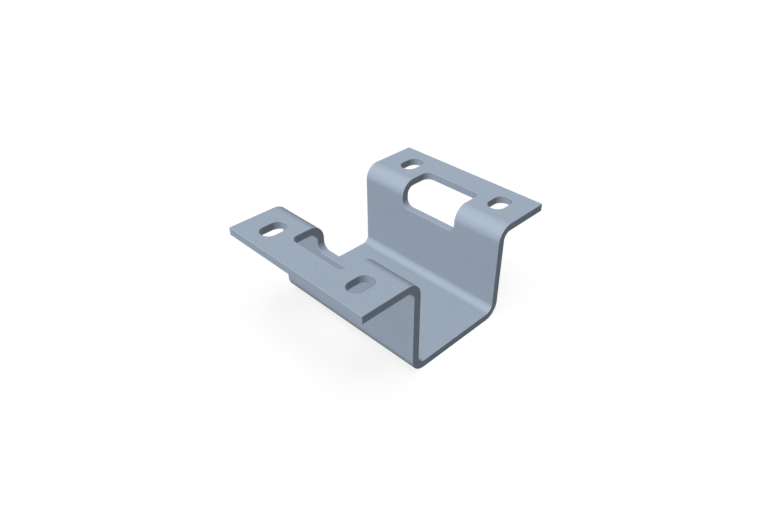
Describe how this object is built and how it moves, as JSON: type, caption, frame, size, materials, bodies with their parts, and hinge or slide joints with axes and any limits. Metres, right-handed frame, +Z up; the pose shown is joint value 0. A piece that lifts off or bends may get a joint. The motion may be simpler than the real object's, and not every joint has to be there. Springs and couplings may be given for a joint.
{
  "type": "bracket clamp",
  "caption": "Folded sheet-steel clamp bracket: an open channel that holds a bar, with a slotted bolting flange and a rounded window on each side.",
  "frame": {"origin": "middle of the underside of the base, in the plane that the bracket stands on", "axes": "+X across the folds from flange to flange, +Y along the folds, +Z up, the way the channel opens"},
  "size_m": [0.09, 0.0672, 0.039],
  "materials": {
    "painted_steel": "satin blue-grey powder coat"
  },
  "bodies": {
    "root": {"clamp_bracket": "painted_steel"}
  },
  "joints": []
}
